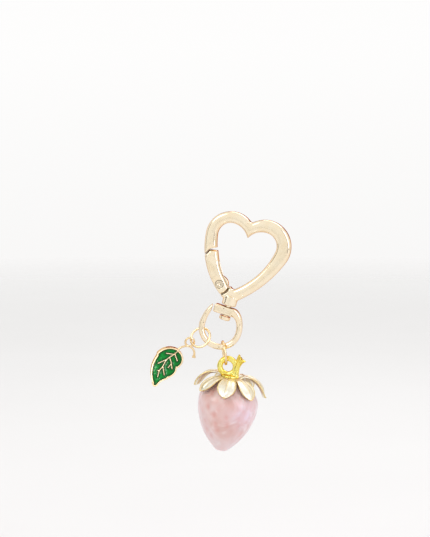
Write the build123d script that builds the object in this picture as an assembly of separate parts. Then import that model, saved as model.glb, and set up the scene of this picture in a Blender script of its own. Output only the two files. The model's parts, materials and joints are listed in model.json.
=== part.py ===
from build123d import *
import os
from math import cos, radians, sin, sqrt

# Heart-shaped spring-gate clasp with a swivel ring, an enamelled leaf charm and a resin
# strawberry charm. Millimetres, +Z up, X across the heart, Y through its thickness.
# The origin is the inner top of the heart's left lobe, where the clasp hangs on a strap.

STANDING = (Align.CENTER, Align.CENTER, Align.MIN)   # a solid that stands on its base

# ---- where the sub-assemblies lie ------------------------------------------------------
CLASP_TILT = 17.0                      # heart and swivel lean this far to the right
CLASP_AT = (-1.95, 0.0, -33.66)         # swivel axis at the top of the swivel's bar
BERRY_LEAN = 8.0                       # the strawberry's top leans to the right
BERRY_AT = (-0.4, 0.0, -61.36)         # centre of the cap, at the top of the calyx
LEAF_AT = (-17.5, -0.1, -48.06)        # centre of the leaf's stem loop
LEAF_YAW = 18.0                        # the leaf's face turns to the right
LEAF_PITCH = 13.0                      # and a little downward

# ---- heart frame and gate (in the clasp's own upright plane) ---------------------------
FRAME_DEPTH = 4.6
FRAME_ROUND = 1.25                     # rounding of the long edges
# each side: lobe centre, lobe radius, how far its arc runs below its widest point, foot of the arm
RIGHT_SIDE = ((6.9, 27.5), 10.65, 20.0, (2.3, 3.1))
LEFT_SIDE = ((-7.2, 27.4), 9.95, 4.0, (-3.05, 3.1))
RIGHT_EYE = ((6.4, 27.6), 5.4, 10.0)
LEFT_EYE = ((-7.2, 27.45), 5.37, 10.0)
EYE_NOTCH, EYE_TIP = (-0.5, 28.75), (0.0, 7.3)
FOOT_ROUND, NOTCH_ROUND, TIP_ROUND = 0.5, 0.8, 1.0
COLLAR_R, COLLAR_LOW, COLLAR_HIGH, COLLAR_CHAMFER = 2.9, 0.75, 4.5, 0.35
PIVOT_X, PIVOT_Z = -5.8, 7.9
GATE_END_R = 3.9                       # the gate's rounded end, about the pivot
GATE_END_GAP = 0.45
GATE_TIP_R = 14.65                     # the frame's nose clears the gate's swing
SEAM_LOW = (-15.0, 17.6)
SEAM_HIGH = (-13.8, 20.05)
SEAM_GAP = 0.22
# the gate's inner side, and corners outside the arm that close the flat shapes cut from it
GATE_INNER_TOP, GATE_INNER_THROUGH = (-10.5, 20.5), (-6.4, 12.6)
GATE_CORNERS = ((-10.0, 2.0), (-20.0, 10.0))
WINDOW_INNER, WINDOW_OUTER = (-2.8, 12.0), ((-9.0, 1.5), (-19.0, 9.4))
GATE_SLOT = 2.5                        # channel width through the gate's thickness
GATE_WEB = 1.1                         # outer wall left beside the channel
CHANNEL_TOP = 16.4
LUG_R, LUG_DEPTH, LUG_INSET = 3.5, 2.3, 0.15
LUG_BRIDGE = ((-4.3, 3.9), (0.2, 3.9), (-0.4, 7.2), (-1.6, 8.0))   # joins the lug to the frame's foot
RIVET_R, RIVET_HEAD_R, RIVET_HEAD, RIVET_PROUD = 0.8, 1.6, 0.45, 0.05
DIMPLE_R, DIMPLE_DEPTH = 1.2, 0.28
RUNNING = 0.06                         # radial clearance of a part that turns
SPRING_R, SPRING_WIRE, SPRING_TURNS, SPRING_LENGTH = 0.9, 0.16, 8, 4.6
SPRING_FOOT, SPRING_HEAD = (-7.45, 11.25), (-10.0, 15.1)

# ---- swivel ----------------------------------------------------------------------------
RING_X, RING_Z = -0.5, -9.0            # centre of the ring's round lower half
RING_R, RING_WIRE = 7.6, 1.175
BAR_LEFT, BAR_RIGHT, BAR_TOP, BAR_LOW, BAR_DEPTH, BAR_ROUND = -5.25, 2.2, 0.1, -3.3, 4.2, 0.75
# sections of the bend from bar to ring: x, z, heading, height, depth, corner radius
SHOULDER = (
    (4.25, -2.15, -32, 3.0, 3.5, 1.1),
    (5.8, -3.9, -58, 2.55, 2.8, 1.15),
    (6.75, -6.2, -77, 2.4, 2.45, 1.15),
)
# sections of the ring's free arm: x, z, heading, radius
ARM = ((-7.83, -6.4, 80, 1.05), (-7.2, -3.9, 70, 0.95), (-6.35, -2.05, 61, 0.85), (-5.5, -0.75, 55, 0.75))
RING_CUT = -6.15                       # the free end of the ring stops short of the bar
SHANK_R, SHANK_UP = 1.2, 4.2
HEAD_R, HEAD_TOP, HEAD_LOW, HEAD_ROUND = 2.2, -3.85, -5.35, 0.6

# ---- jump rings ------------------------------------------------------------------------
LEAF_LINK_AT = (-13.2, 0.0, -46.16)
LEAF_LINK_R, LEAF_LINK_WIRE = 4.15, 0.46
LEAF_LINK_TILT = 33.0
BERRY_LINK_AT = (-3.45, 0.0, -52.16)
BERRY_LINK_R, BERRY_LINK_WIRE = 4.5, 0.52
BERRY_LINK_TURN = 14.0
BERRY_LINK_LEAN = 8.0
LINK_SPLIT = 0.06                      # closed butt joint of a jump ring

# ---- leaf charm (blade measured from the stem loop's centre) ---------------------------
LEAF_THICK, LEAF_RIM, CELL_DEPTH, ENAMEL_THICK = 1.7, 0.6, 0.6, 0.5
VEIN_WIDTH, STEM_R = 0.38, 0.4
STEM_LOOP_R = 1.8
STEM_FROM, STEM_THROUGH, STEM_FOOT, FLARE_LENGTH = (-5.0, -3.5), (-2.9, -2.0), (2.0, -5.4), 1.3

# ---- strawberry (heights below the cap) ------------------------------------------------
BERRY_R, BERRY_WIDEST, BERRY_LOW, BERRY_TOP = 12.1, 11.5, 30.8, 1.55
BERRY_SHOULDER = 10.5
BERRY_UPPER = ((8.3, -3.9), (10.9, -7.0))
BERRY_LOWER = ((11.05, -17.5), (7.8, -24.3), (3.2, -29.6))
PETALS = 7
PETAL_ANGLE = -91.0                    # the first sepal points straight to the front
PETAL_THICK = 0.8
DOME_FLAT, DOME_R, CAP_TOP = 3.2, 10.0, 0.6
VALLEY_R = 8.9
PETAL_HINGE = 4.0
# each sepal's bend up from the cap's dome in degrees, its step up from the cap, and its reach
PETAL_BEND = (0.0, 0.0, 12.0, 9.0, 9.0, 18.0, 3.0)
PETAL_LIFT = (0.0, 0.0, 1.2, 0.9, 0.9, 1.2, 0.0)
PETAL_REACH = (12.65, 12.65, 13.1, 13.0, 13.0, 13.1, 12.65)
PETAL_ROOT = ((2.6, 0.8), (4.7, 1.9))   # corners of the step under a lifted sepal
PEG_R, PEG_LOW, SOCKET_R, SOCKET_LOW = 1.2, 8.5, 1.6, 9.2
DISC_X, DISC_R, DISC_HIGH = -0.8, 3.6, 0.9
LOOP_X, LOOP_Z, LOOP_R, LOOP_TUBE = -2.16, 3.53, 3.15, 1.1
STEM = ((1.2, -0.3, 90, 1.7), (1.3, 1.6, 86, 1.35), (1.6, 4.2, 76, 1.2), (2.35, 6.4, 62, 1.5))
STEM_END, STEM_END_R, STEM_END_TURN, DISH_R = (3.24, 7.87), 2.05, 49.0, 4.0


def upright(face, depth):
    """A flat shape drawn in X and Z, thickened evenly to both sides in Y."""
    return extrude(Plane.XZ * face, amount=depth / 2, both=True)


def polar(centre, radius, degrees):
    """A point at an angle about a centre, in the X, Z drawing plane."""
    return (centre[0] + radius * cos(radians(degrees)), centre[1] + radius * sin(radians(degrees)))


def clasp(shape):
    """Place a shape of the clasp's own upright plane in the assembly."""
    return Location(CLASP_AT, (0, CLASP_TILT, 0)) * shape


def berry_frame(shape):
    """Place a shape built about the strawberry's own axis in the assembly."""
    return Location(BERRY_AT, (0, BERRY_LEAN, 0)) * shape


def leaf_frame(shape):
    """Place a shape built about the leaf's stem loop in the assembly."""
    return Pos(*LEAF_AT) * Rot(0, 0, LEAF_YAW) * Rot(LEAF_PITCH, 0, 0) * shape


# ---- heart ------------------------------------------------------------------------------
def side_low(centre, radius, sweep):
    """Where a lobe's arc ends on its outer side, and its heading there."""
    side = 1 if centre[0] > 0 else -1
    low = (centre[0] + side * radius * cos(radians(sweep)), centre[1] - radius * sin(radians(sweep)))
    return low, (-side * sin(radians(sweep)), -cos(radians(sweep)))


def lobe_through(centre, radius):
    """The point of a lobe's arc 40 degrees above its widest point."""
    return polar(centre, radius, 40 if centre[0] > 0 else 140)


def lobe_crossing():
    """Where the two lobes' circles meet at the top of the heart."""
    (ax, az), ra = RIGHT_SIDE[:2]
    (bx, bz), rb = LEFT_SIDE[:2]
    gap = sqrt((bx - ax)**2 + (bz - az)**2)
    along = (gap**2 + ra**2 - rb**2) / (2 * gap)
    ux, uz = (bx - ax) / gap, (bz - az) / gap
    rise = sqrt(ra**2 - along**2)
    return (ax + along * ux + rise * uz, az + along * uz - rise * ux)


def heart_outer():
    notch = lobe_crossing()
    edges = []
    for centre, radius, sweep, foot in (RIGHT_SIDE, LEFT_SIDE):
        low, heading = side_low(centre, radius, sweep)
        edges.append(ThreePointArc(notch, lobe_through(centre, radius), low))
        edges.append(TangentArc(low, foot, tangent=heading))
    edges.append(Line(RIGHT_SIDE[3], LEFT_SIDE[3]))
    face = make_face(edges)
    foot_z = RIGHT_SIDE[3][1]
    face = fillet([v for v in face.vertices() if abs(v.Y - foot_z) < 1e-3], FOOT_ROUND)
    corners = [v for v in face.vertices() if abs(v.X - notch[0]) < 1e-3 and v.Y > foot_z + 5]
    return fillet(corners, NOTCH_ROUND)


def heart_eye():
    edges = []
    for centre, radius, sweep in (RIGHT_EYE, LEFT_EYE):
        top = (centre[0], centre[1] + radius)
        low, heading = side_low(centre, radius, sweep)
        inward = (-1, 0) if centre[0] > 0 else (1, 0)
        edges.append(TangentArc(top, EYE_NOTCH, tangent=inward))
        edges.append(ThreePointArc(top, lobe_through(centre, radius), low))
        edges.append(TangentArc(low, EYE_TIP, tangent=heading))
    face = make_face(edges)
    return fillet(face.vertices().sort_by(Axis.Y)[:1], TIP_ROUND)


def gate_window():
    """The stretch of the left arm that the gate closes, open to both sides."""
    pivot = (PIVOT_X, PIVOT_Z)
    inner_end = polar(pivot, GATE_TIP_R, 105)
    span = make_face([
        ThreePointArc(SEAM_HIGH, polar(pivot, GATE_TIP_R, 114), inner_end),
        Polyline(inner_end, WINDOW_INNER, pivot, *WINDOW_OUTER, SEAM_LOW, SEAM_HIGH),
    ])
    return span + Pos(*pivot) * Circle(GATE_END_R + GATE_END_GAP)


def heart_frame():
    body = soften(upright(heart_outer() - heart_eye(), FRAME_DEPTH), FRAME_ROUND)
    body -= upright(gate_window(), FRAME_DEPTH)
    bridge = make_face(Polyline((PIVOT_X, PIVOT_Z), *LUG_BRIDGE, (PIVOT_X, PIVOT_Z)))
    lug = (Pos(PIVOT_X, PIVOT_Z) * Circle(LUG_R) + bridge) & offset(heart_outer(), -LUG_INSET)
    body += upright(lug, LUG_DEPTH)
    collar = Pos(0, 0, COLLAR_LOW) * Cylinder(COLLAR_R, COLLAR_HIGH - COLLAR_LOW, align=STANDING)
    collar = chamfer(collar.edges().group_by(Axis.Z)[0], COLLAR_CHAMFER)
    body += collar
    body -= Pos(0, 0, COLLAR_LOW) * Cylinder(SHANK_R, SHANK_UP, align=STANDING)
    body -= upright(Pos(PIVOT_X, PIVOT_Z) * Circle(RIVET_R), FRAME_DEPTH)
    return clasp(body)


def soften(body, radius):
    """Round every edge of the front and back faces."""
    edges = [e for e in body.edges() if abs(abs(e.center().Y) - FRAME_DEPTH / 2) < 1e-3]
    return fillet(edges, radius)


def gate_blank():
    pivot = (PIVOT_X, PIVOT_Z)
    run = Vector(SEAM_HIGH[0] - SEAM_LOW[0], SEAM_HIGH[1] - SEAM_LOW[1]).normalized()
    shift = Vector(run.Y, -run.X) * SEAM_GAP
    high = (SEAM_HIGH[0] + shift.X, SEAM_HIGH[1] + shift.Y)
    low = (high[0] - run.X * 5, high[1] - run.Y * 5)
    inner_low, end_out = polar(pivot, GATE_END_R, -5), polar(pivot, GATE_END_R, -85)
    blank = make_face([
        Polyline(low, high, GATE_INNER_TOP),
        ThreePointArc(GATE_INNER_TOP, GATE_INNER_THROUGH, inner_low),
        ThreePointArc(inner_low, polar(pivot, GATE_END_R, -45), end_out),
        Polyline(end_out, *GATE_CORNERS, low),
    ])
    return blank & heart_outer()


def gate():
    blank = gate_blank()
    body = soften(upright(blank, FRAME_DEPTH), FRAME_ROUND - 0.15)
    channel = (blank + Pos(-6, 13) * Rectangle(10, 8)) & offset(heart_outer(), -GATE_WEB)
    channel &= Pos(-5, CHANNEL_TOP - 5) * Rectangle(20, 10)
    body -= upright(channel, GATE_SLOT)
    pivot = Pos(PIVOT_X, PIVOT_Z)
    body -= upright(pivot * Circle(GATE_END_R + 0.1), GATE_SLOT)
    body -= upright(pivot * Circle(RIVET_R + RUNNING), FRAME_DEPTH)
    sink = upright(pivot * Circle(RIVET_HEAD_R + RUNNING), FRAME_DEPTH)
    core = upright(pivot * Circle(RIVET_HEAD_R + 1), FRAME_DEPTH - 2 * RIVET_HEAD)
    body -= sink - core
    return clasp(body)


def gate_pivot_rivet():
    """A flush rivet: shank pressed in the lug, a dimpled head sunk in each cheek."""
    pivot = Pos(PIVOT_X, PIVOT_Z)
    body = upright(pivot * Circle(RIVET_R), FRAME_DEPTH)
    head_depth = RIVET_HEAD - RUNNING
    heads = upright(pivot * Circle(RIVET_HEAD_R), FRAME_DEPTH + 2 * RIVET_PROUD)
    heads -= upright(pivot * Circle(RIVET_HEAD_R + 1), FRAME_DEPTH - 2 * head_depth)
    body += heads
    dimple = Pos(PIVOT_X, 0, PIVOT_Z) * Sphere(DIMPLE_R)
    reach = FRAME_DEPTH / 2 + RIVET_PROUD + DIMPLE_R - DIMPLE_DEPTH
    body -= Pos(0, reach, 0) * dimple
    body -= Pos(0, -reach, 0) * dimple
    return clasp(body)


def gate_spring():
    """The small compression spring in the gate's channel, standing on the frame's lug."""
    foot, head = Vector(SPRING_FOOT[0], 0, SPRING_FOOT[1]), Vector(SPRING_HEAD[0], 0, SPRING_HEAD[1])
    axis = (head - foot).normalized()
    plane = Plane(origin=foot, x_dir=(0, 1, 0), z_dir=axis)
    path = Helix(pitch=SPRING_LENGTH / SPRING_TURNS, height=SPRING_LENGTH, radius=SPRING_R)
    wire = sweep(Plane(origin=path @ 0, z_dir=path % 0) * Circle(SPRING_WIRE), path=path, is_frenet=True)
    return clasp(plane.location * wire)


# ---- swivel -----------------------------------------------------------------------------
def section(x, z, degrees, height, depth, corner):
    """A rounded section of the swivel, square to a heading in the upright plane."""
    heading = (cos(radians(degrees)), 0, sin(radians(degrees)))
    plane = Plane(origin=(x, 0, z), x_dir=(0, 1, 0), z_dir=heading)
    return plane * RectangleRounded(depth, height, corner)


def swivel_ring():
    wire = 2 * RING_WIRE
    bar_z = (BAR_TOP + BAR_LOW) / 2
    bar_height = BAR_TOP - BAR_LOW
    bar = Pos((BAR_LEFT + BAR_RIGHT) / 2, 0, bar_z) * Box(BAR_RIGHT - BAR_LEFT, BAR_DEPTH, bar_height)
    end = bar.faces().sort_by(Axis.X)[0]
    bar = fillet(bar.edges().filter_by(Axis.X) + end.edges(), BAR_ROUND)
    bar -= Pos(0, 0, bar_z) * Cylinder(SHANK_R + RUNNING, bar_height + 1)
    # the bend ends just inside the round wire, so the two solids merge cleanly
    shoulder = loft([
        section(BAR_RIGHT, bar_z, 0, bar_height, BAR_DEPTH, BAR_ROUND),
        *(section(*row) for row in SHOULDER),
        section(RING_X + RING_R - 0.02, RING_Z - 0.6, -94, wire - 0.04, wire - 0.04, RING_WIRE - 0.03),
    ])
    lower = revolve(
        Plane(origin=(RING_X + RING_R, 0, RING_Z), x_dir=(1, 0, 0), z_dir=(0, 0, 1)) * Circle(RING_WIRE),
        axis=Axis((RING_X, 0, RING_Z), (0, 1, 0)), revolution_arc=180)
    arm = loft([ring_section(RING_X - RING_R, RING_Z, 90, RING_WIRE), *(ring_section(*row) for row in ARM)])
    arm -= Pos(RING_CUT + 5, 0, -2) * Box(10, 10, 8)
    return clasp(bar + shoulder + lower + arm)


def ring_section(x, z, degrees, radius):
    heading = (cos(radians(degrees)), 0, sin(radians(degrees)))
    return Plane(origin=(x, 0, z), x_dir=(0, 1, 0), z_dir=heading) * Circle(radius)


def swivel_rivet():
    head = Pos(0, 0, HEAD_LOW) * Cylinder(HEAD_R, HEAD_TOP - HEAD_LOW, align=STANDING)
    head = fillet(head.edges().group_by(Axis.Z)[0], HEAD_ROUND)
    top = COLLAR_LOW + SHANK_UP
    shank = Pos(0, 0, HEAD_TOP) * Cylinder(SHANK_R, top - HEAD_TOP, align=STANDING)
    return clasp(head + shank)


# ---- jump rings -------------------------------------------------------------------------
def jump_ring(radius, wire, split_degrees):
    """A butt-closed ring of round wire about Z; its split lies at the given angle."""
    gap = LINK_SPLIT / radius
    arc = 360 - gap * 57.3
    ring = revolve(Plane.XZ * Pos(radius, 0) * Circle(wire), axis=Axis.Z, revolution_arc=arc)
    return Rot(0, 0, split_degrees) * ring


def leaf_link_plane():
    """In-plane axes: one along the line from the swivel's centre, one tipped to the front."""
    centre = clasp_point(RING_X, RING_Z)
    out = Vector(LEAF_LINK_AT[0] - centre[0], 0, LEAF_LINK_AT[2] - centre[1]).normalized()
    tilt = radians(LEAF_LINK_TILT)
    along = Vector(-out.Z * cos(tilt), -sin(tilt), out.X * cos(tilt))
    return Plane(origin=LEAF_LINK_AT, x_dir=out, z_dir=out.cross(along))


def berry_link_plane():
    lean, turn = radians(BERRY_LINK_LEAN), radians(BERRY_LINK_TURN)
    down = Vector(sin(lean), 0, -cos(lean))
    back = Vector(-sin(turn), cos(turn), 0)
    normal = down.cross(back).normalized()
    return Plane(origin=BERRY_LINK_AT, x_dir=down, z_dir=normal)


def clasp_point(x, z):
    tilt = radians(CLASP_TILT)
    return (CLASP_AT[0] + x * cos(tilt) + z * sin(tilt), CLASP_AT[2] - x * sin(tilt) + z * cos(tilt))


def leaf_jump_ring():
    return leaf_link_plane().location * jump_ring(LEAF_LINK_R, LEAF_LINK_WIRE, 118)


def berry_jump_ring():
    return berry_link_plane().location * jump_ring(BERRY_LINK_R, BERRY_LINK_WIRE, 100)


# ---- leaf charm -------------------------------------------------------------------------
# The blade hangs down and to the left of the stem loop. Each arc of its serrated edge is
# (start, through, end), and each vein starts on the midrib and stops short of the rim.
LEAF_EDGE = (
    ((-4.5, -3.01), (-8.4, -1.9), (-13.1, -4.19)),
    ((-13.3, -5.26), (-15.5, -11.03), (-14.8, -17.03)),
    ((-14.8, -17.03), (-13.9, -18.63), (-12.6, -17.88)),
    ((-12.6, -17.88), (-10.9, -16.38), (-8.8, -15.53)),
    ((-8.6, -14.99), (-6.2, -13.75), (-5.0, -10.71)),
    ((-4.7, -10.82), (-2.55, -7.5), (-3.9, -3.87)),
)
LEAF_VEINS = (
    ((-4.3, -3.01), (-6.2, -4.83), (-8.8, -6.54), (-9.8, -7.82), (-10.8, -9.96), (-12.2, -11.68),
     (-12.8, -14.56)),
    ((-6.4, -4.83), (-9.6, -4.29)),
    ((-9.2, -6.97), (-12.8, -8.57)),
    ((-11.9, -11.46), (-12.9, -11.78)),
    ((-6, -4.72), (-4.9, -7.82)),
    ((-8.1, -6.11), (-7.4, -8.25), (-7, -11.25)),
    ((-7.3, -8.79), (-8.7, -10.61)),
    ((-10.7, -10.18), (-10.1, -13.82)),
)


def leaf_blade():
    edges = []
    for (start, through, end), following in zip(LEAF_EDGE, LEAF_EDGE[1:] + LEAF_EDGE[:1]):
        edges.append(ThreePointArc(start, through, end))
        if end != following[0]:
            edges.append(Line(end, following[0]))
    return make_face(edges)


def leaf_cell():
    """The sunk field inside the rim, with the veins standing up in it."""
    field = offset(leaf_blade(), -LEAF_RIM)
    for vein in LEAF_VEINS:
        field -= trace(Polyline(*vein), line_width=VEIN_WIDTH)
    return field


def front_layer(face, top, thickness):
    """A layer of the leaf whose front surface lies this far in front of its middle plane."""
    return Pos(0, -top, 0) * extrude(Plane.XZ * face, amount=-thickness)


def leaf_plate():
    front = LEAF_THICK / 2
    plate = front_layer(leaf_blade(), front, LEAF_THICK)
    plate -= front_layer(leaf_cell(), front, CELL_DEPTH)
    rise = ThreePointArc(STEM_FROM, STEM_THROUGH, (-0.9, -STEM_LOOP_R + 0.05))
    fall = TangentArc(rise @ 1, STEM_FOOT, tangent=rise % 1)
    stem = sweep(Plane(origin=rise @ 0, z_dir=rise % 0) * Circle(STEM_R), path=Wire([rise, fall]))
    stem = Rot(90, 0, 0) * stem
    foot = fall @ 1
    foot_dir = fall % 1
    flare_plane = Plane(origin=(foot.X, 0, foot.Y), z_dir=(foot_dir.X, 0, foot_dir.Y))
    flare = flare_plane.location * Cone(STEM_R, 2 * STEM_R, FLARE_LENGTH, align=STANDING)
    loop = Rot(90, 0, 0) * Torus(STEM_LOOP_R, STEM_R)
    return leaf_frame(plate + stem + flare + loop)


def leaf_enamel():
    front = LEAF_THICK / 2
    return leaf_frame(front_layer(leaf_cell(), front - (CELL_DEPTH - ENAMEL_THICK), ENAMEL_THICK))


# ---- strawberry -------------------------------------------------------------------------
def berry():
    """The resin fruit: a flattened shoulder, widest near the top, and a blunt tip."""
    shoulder_x = BERRY_R * sqrt(1 - ((BERRY_WIDEST - BERRY_TOP) / BERRY_SHOULDER) ** 2)
    half = [
        Line((0, -BERRY_TOP), (shoulder_x, -BERRY_TOP)),
        Spline((shoulder_x, -BERRY_TOP), *BERRY_UPPER, (BERRY_R, -BERRY_WIDEST),
               tangents=[(1, -0.25), (0, -1)]),
        Spline((BERRY_R, -BERRY_WIDEST), *BERRY_LOWER, (0, -BERRY_LOW), tangents=[(0, -1), (-1, 0)]),
        Line((0, -BERRY_LOW), (0, -BERRY_TOP)),
    ]
    body = revolve(Plane.XZ * make_face(half), axis=Axis.Z)
    body -= Pos(0, 0, -SOCKET_LOW) * Cylinder(SOCKET_R, SOCKET_LOW, align=STANDING)
    return berry_frame(body)


def calyx():
    """A domed cap with seven sepals, some bent up more than others."""
    outer_z, inner_r = -CAP_TOP - DOME_R, DOME_R - PETAL_THICK
    side = polar((DOME_FLAT, outer_z), DOME_R, 10)
    side_in = polar((DOME_FLAT, outer_z), inner_r, 10)
    shell = make_face([
        Polyline((0, -CAP_TOP - PETAL_THICK), (0, -CAP_TOP), (DOME_FLAT, -CAP_TOP)),
        ThreePointArc((DOME_FLAT, -CAP_TOP), polar((DOME_FLAT, outer_z), DOME_R, 50), side),
        Line(side, side_in),
        ThreePointArc(side_in, polar((DOME_FLAT, outer_z), inner_r, 50), (DOME_FLAT, outer_z + inner_r)),
        Line((DOME_FLAT, outer_z + inner_r), (0, -CAP_TOP - PETAL_THICK)),
    ])
    dome = revolve(Plane.XZ * shell, axis=Axis.Z)
    step = 360 / PETALS
    body = dome & Pos(0, 0, -10) * Cylinder(VALLEY_R - 1.2, 20)
    hinge = Pos(PETAL_HINGE, 0, -CAP_TOP)
    for number, (bend, lift, reach) in enumerate(zip(PETAL_BEND, PETAL_LIFT, PETAL_REACH)):
        petal = dome & Pos(0, 0, -12) * extrude(sepal_outline(reach), amount=14)
        petal = Pos(0, 0, lift) * hinge * Rot(0, -bend, 0) * hinge.inverse() * petal
        if lift:
            petal += sepal_step(lift)
        body += Rot(0, 0, PETAL_ANGLE + number * step) * petal
    body -= hanger_base() + hanger_stem()
    body -= Cylinder(PEG_R, 8)
    return berry_frame(body)


def sepal_step(lift):
    """The step that carries a lifted sepal's root above the cap."""
    (x_in, y_in), (x_out, y_out) = PETAL_ROOT
    corners = (x_in, y_in), (x_out, y_out), (x_out, -y_out), (x_in, -y_in), (x_in, y_in)
    outline = make_face(Polyline(*corners))
    return Pos(0, 0, -CAP_TOP - PETAL_THICK) * extrude(outline, amount=PETAL_THICK + lift)


def sepal_outline(reach):
    """One sepal seen from above, pointing along X to its tip."""
    valley = polar((0, 0), VALLEY_R, 180 / PETALS - 1.5)
    shoulder = (reach - 2.45, 3.5)
    tip = (reach, 0)
    half = [
        Line((3.0, 0.9), valley),
        ThreePointArc(valley, (9.5, 3.75), shoulder),
        ThreePointArc(shoulder, (reach - 0.9, 2.2), tip),
    ]
    flipped = [mirror(edge, Plane.XZ) for edge in half]
    return make_face(half + flipped + [Line((3.0, 0.9), (3.0, -0.9))])


def hanger_base():
    """The loop and the disc it stands on."""
    disc = Pos(DISC_X, 0, -CAP_TOP) * Cylinder(DISC_R, DISC_HIGH, align=STANDING)
    disc = fillet(disc.edges().group_by(Axis.Z)[-1], 0.5)
    loop = Pos(LOOP_X, 0, LOOP_Z) * Rot(90, 0, 0) * Torus(LOOP_R, LOOP_TUBE)
    loop &= Pos(LOOP_X, 0, -CAP_TOP) * Box(12, 6, 12, align=STANDING)
    return disc + loop


def hanger_stem():
    """The cut stem beside the loop, dished at its end."""
    stem = loft([*(ring_section(*row) for row in STEM), ring_section(*STEM_END, STEM_END_TURN, STEM_END_R)])
    hollow = polar(STEM_END, 3.5, STEM_END_TURN)
    return stem - Pos(hollow[0], 0, hollow[1]) * Rot(90, 0, 0) * Cylinder(DISH_R, 6)


def berry_hanger():
    """The loop, the cut stem beside it, their base disc and the peg: one casting."""
    peg = Pos(0, 0, -PEG_LOW) * Cylinder(PEG_R, PEG_LOW, align=STANDING)
    return berry_frame(hanger_base() + hanger_stem() + peg)


def peg_adhesive():
    """Cured adhesive that fills the socket around and under the peg."""
    top = -BERRY_TOP
    fill = Pos(0, 0, -SOCKET_LOW) * Cylinder(SOCKET_R, SOCKET_LOW + top, align=STANDING)
    fill -= Pos(0, 0, -PEG_LOW) * Cylinder(PEG_R, PEG_LOW, align=STANDING)
    return berry_frame(fill)


NODES = {
    "heart_frame": heart_frame,
    "gate": gate,
    "gate_pivot_rivet": gate_pivot_rivet,
    "gate_spring": gate_spring,
    "swivel_rivet": swivel_rivet,
    "swivel_ring": swivel_ring,
    "leaf_jump_ring": leaf_jump_ring,
    "leaf_plate": leaf_plate,
    "leaf_enamel": leaf_enamel,
    "berry_jump_ring": berry_jump_ring,
    "berry_hanger": berry_hanger,
    "calyx": calyx,
    "peg_adhesive": peg_adhesive,
    "berry": berry,
}

os.makedirs("parts", exist_ok=True)
for name, make in NODES.items():
    shape = make()
    shape.label = name
    export_step(shape, "parts/" + name + ".step")
    print(name, round(shape.volume, 2))
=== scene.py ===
import json
import math

import bpy
import numpy as np
from mathutils import Matrix, Vector, kdtree
from mathutils.bvhtree import BVHTree


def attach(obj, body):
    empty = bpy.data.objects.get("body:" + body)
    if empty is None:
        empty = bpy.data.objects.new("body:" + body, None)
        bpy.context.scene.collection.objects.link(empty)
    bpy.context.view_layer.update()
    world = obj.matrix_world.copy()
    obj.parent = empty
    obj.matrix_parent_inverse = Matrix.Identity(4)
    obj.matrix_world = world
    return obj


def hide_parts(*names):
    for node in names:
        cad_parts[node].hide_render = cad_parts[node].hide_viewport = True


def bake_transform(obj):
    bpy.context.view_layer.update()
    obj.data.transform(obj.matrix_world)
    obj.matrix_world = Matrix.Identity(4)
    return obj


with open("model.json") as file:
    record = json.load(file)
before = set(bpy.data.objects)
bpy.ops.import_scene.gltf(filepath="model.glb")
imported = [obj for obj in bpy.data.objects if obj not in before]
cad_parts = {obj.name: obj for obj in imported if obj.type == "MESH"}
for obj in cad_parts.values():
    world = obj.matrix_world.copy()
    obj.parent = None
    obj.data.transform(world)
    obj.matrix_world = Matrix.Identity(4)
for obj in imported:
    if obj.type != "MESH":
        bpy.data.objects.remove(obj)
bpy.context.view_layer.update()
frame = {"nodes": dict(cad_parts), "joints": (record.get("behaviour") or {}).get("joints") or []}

# The looks of a heart clasp with a swivel, an enamelled leaf and a resin strawberry.
# Meshes are modelled in millimetres in the frame of the part they belong to, and placed by
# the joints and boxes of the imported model. Materials measure in metres.

# ---- sizes, millimetres and degrees ------------------------------------------------------
MM = 0.001
BERRY_LEAN = 8.0                   # the strawberry's own axis leans this far to the right
BERRY_TOP = 1.55                   # the fruit starts this far under the calyx's top
FRUIT_CENTRE = -13.0               # height from which the fruit's skin is measured
FRUIT_CELLS = 88                   # quads along each edge of the fruit's cube of patches
SEED_ROWS = 7
SEED_STEP = 4.3
SEED_R, SEED_DEPTH = 2.0, 0.16
SHEEN_ANGLE, SHEEN_HEIGHT, SHEEN_WIDTH = -48.0, -13.5, 4.6    # a painted lavender highlight on the fruit's right
PETALS = 7
PETAL_ANGLE = -91.0
PETAL_BEND = (0.0, 0.0, 12.0, 9.0, 9.0, 18.0, 3.0)
PETAL_LIFT = (0.0, 0.0, 1.2, 0.9, 0.9, 1.2, 0.0)
PETAL_REACH = (12.65, 12.65, 13.1, 13.0, 13.0, 13.1, 12.65)   # tips' reach from above, unbent
PETAL_EXTRA = (0.0, 0.0, 1.4, 0.6, 0.6, 2.0, 0.0)             # length added at the tip
PETAL_DROOP = (0.0, 0.0, 0.8, 0.4, 0.4, 1.1, 0.0)             # how far the tip curls in
DOME_FLAT, DOME_R, CAP_TOP = 3.2, 10.0, 0.6
PETAL_THICK = 0.75
PETAL_START = 1.6                  # a sepal's root, from the axis
PETAL_ALONG = (0.0, 0.16, 0.3, 0.45, 0.6, 0.7, 0.8, 0.88, 0.94, 0.98, 1.0)       # share of length
PETAL_HALF = (0.9, 1.65, 2.55, 3.35, 3.75, 3.7, 3.25, 2.45, 1.55, 0.75, 0.12)    # half width there
EDGE_CROWDING = 0.9                # below 1, a sepal's columns crowd towards its edge
RIM_HIGH, FOLD_HIGH, SIDE_FOLD_HIGH = 0.30, 0.20, 0.05
RIM_BAND, FOLD_WIDTH = (0.82, 0.94), 0.09
SIDE_FOLD_AT, SIDE_FOLD_WIDTH = 0.42, 0.10
PANEL_SUNK, PANEL_SWELL, PETAL_ARCH = 0.30, 0.35, 0.028
PETAL_RIPPLE, TIP_FLIP = 0.10, 0.25
PETAL_HINGE = 4.0                  # a lifted sepal bends here, from the axis
CAP_PROFILE = ((0, -0.55), (2.6, -0.55), (3.6, -0.62), (4.4, -0.78), (5.0, -1.0), (5.0, -1.5),
               (4.0, -1.5), (0, -1.4))
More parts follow.
